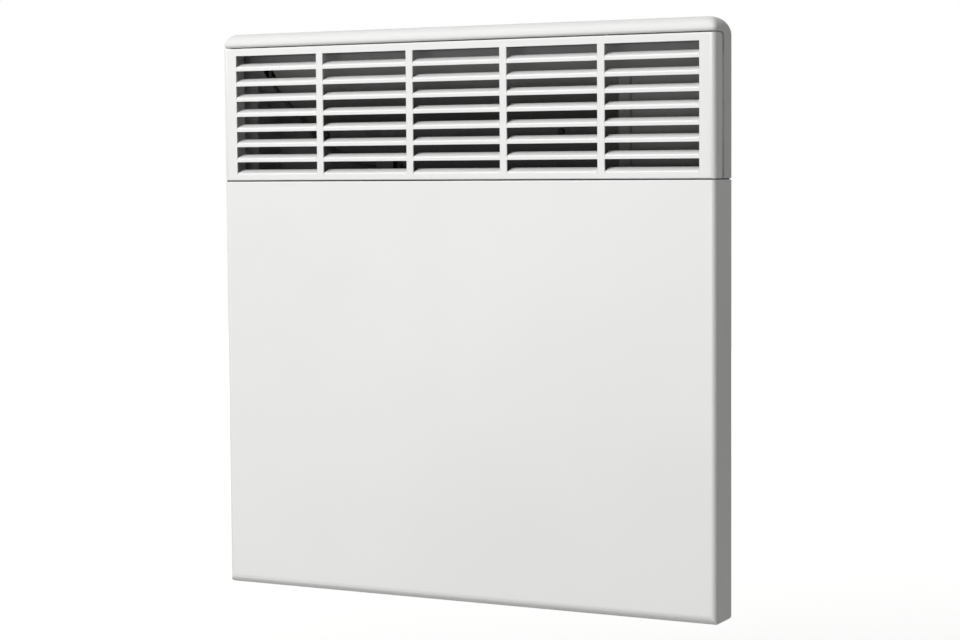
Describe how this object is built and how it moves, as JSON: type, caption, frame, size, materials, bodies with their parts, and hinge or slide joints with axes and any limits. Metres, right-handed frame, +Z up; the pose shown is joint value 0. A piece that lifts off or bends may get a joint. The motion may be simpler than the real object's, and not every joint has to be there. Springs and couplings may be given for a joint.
{
  "type": "wall panel convector heater",
  "caption": "Slim wall-hung electric convector: flat folded front panel, louvred outlet grille, bull-nose hood, finned element inside, controls on the top ledge, on a wall bracket.",
  "frame": {"origin": "centre of the wall bracket's back face, on its centre strap where it bears on the wall", "axes": "+X towards the right-hand side as the heater is looked at, +Y into the wall, +Z up; the heater faces -Y"},
  "size_m": [0.42, 0.08, 0.44],
  "materials": {
    "galvanised": "galvanised sheet, satin",
    "white_enamel": "semi-matt white powder coat",
    "white_plastic": "fine matt moulded white",
    "aluminium_fin": "extruded, plain",
    "steel_sheath": "drawn sheath, satin",
    "spool_ceramic": "unglazed steatite",
    "terminal_brass": "turned, plain",
    "black_plastic": "moulded, matt",
    "black_sleeve": "woven glass sleeve, matt",
    "earth_sleeve": "green and yellow sleeve, matt",
    "black_rubber": "moulded, matt",
    "grey_plastic": "moulded, matt",
    "amber_lens": "clear amber lens",
    "board_laminate": "glass laminate, satin",
    "zinc_plate": "bright zinc plate"
  },
  "bodies": {
    "bracket": {"wall_bracket": "galvanised"},
    "casing": {"rear_pan": "galvanised", "air_deflector": "galvanised", "heat_shield": "galvanised", "right_partition": "galvanised", "control_cover": "galvanised", "element_hanger": "galvanised", "front_panel": "white_enamel", "outlet_grille": "white_enamel", "top_hood": "white_plastic", "control_fascia": "white_plastic", "terminal_block": "white_plastic", "cable_clamp": "white_plastic", "sensor_holder": "white_plastic", "element_fins": "aluminium_fin", "element_core": "steel_sheath", "element_spool_left": "spool_ceramic", "element_spool_right": "spool_ceramic", "element_terminal_left": "terminal_brass", "element_terminal_right": "terminal_brass", "thermal_cutout": "black_plastic", "mode_switch": "black_plastic", "power_relay": "black_plastic", "board_capacitor": "black_plastic", "room_sensor": "black_plastic", "cutout_lead_upper": "black_sleeve", "cutout_lead_lower": "black_sleeve", "element_feed_wire": "black_sleeve", "earth_wire": "earth_sleeve", "cable_grommet": "black_rubber", "potentiometer": "grey_plastic", "control_housing": "grey_plastic", "pilot_light": "amber_lens", "circuit_board": "board_laminate", "panel_screw_1": "zinc_plate", "panel_screw_2": "zinc_plate", "panel_screw_3": "zinc_plate", "panel_screw_4": "zinc_plate", "hood_screw_left": "zinc_plate", "hood_screw_right": "zinc_plate", "grille_screw_left": "zinc_plate", "grille_screw_right": "zinc_plate", "clamp_screw_left": "zinc_plate", "clamp_screw_right": "zinc_plate", "shield_screw_left": "zinc_plate", "shield_screw_right": "zinc_plate", "deflector_screw_1": "zinc_plate", "deflector_screw_2": "zinc_plate", "hanger_screw_1": "zinc_plate", "hanger_screw_2": "zinc_plate", "housing_screw_1": "zinc_plate", "housing_screw_2": "zinc_plate", "earth_screw": "zinc_plate"},
    "knob": {"thermostat_knob": "white_plastic", "potentiometer_shaft": "white_plastic"},
    "slider": {"mode_slider": "black_plastic"}
  },
  "joints": [
    {"name": "lift_off", "type": "slide", "parent": "bracket", "child": "casing", "axis": [0, 0, 1], "range_m": [0, 0.008]},
    {"name": "thermostat_turn", "type": "hinge", "parent": "casing", "child": "knob", "pos_m": [0.172, -0.034, 0.2094], "axis": [0, 0, 1], "range_deg": [0, 270]},
    {"name": "mode_slide", "type": "slide", "parent": "casing", "child": "slider", "axis": [1, 0, 0], "range_m": [0, 0.016]}
  ]
}
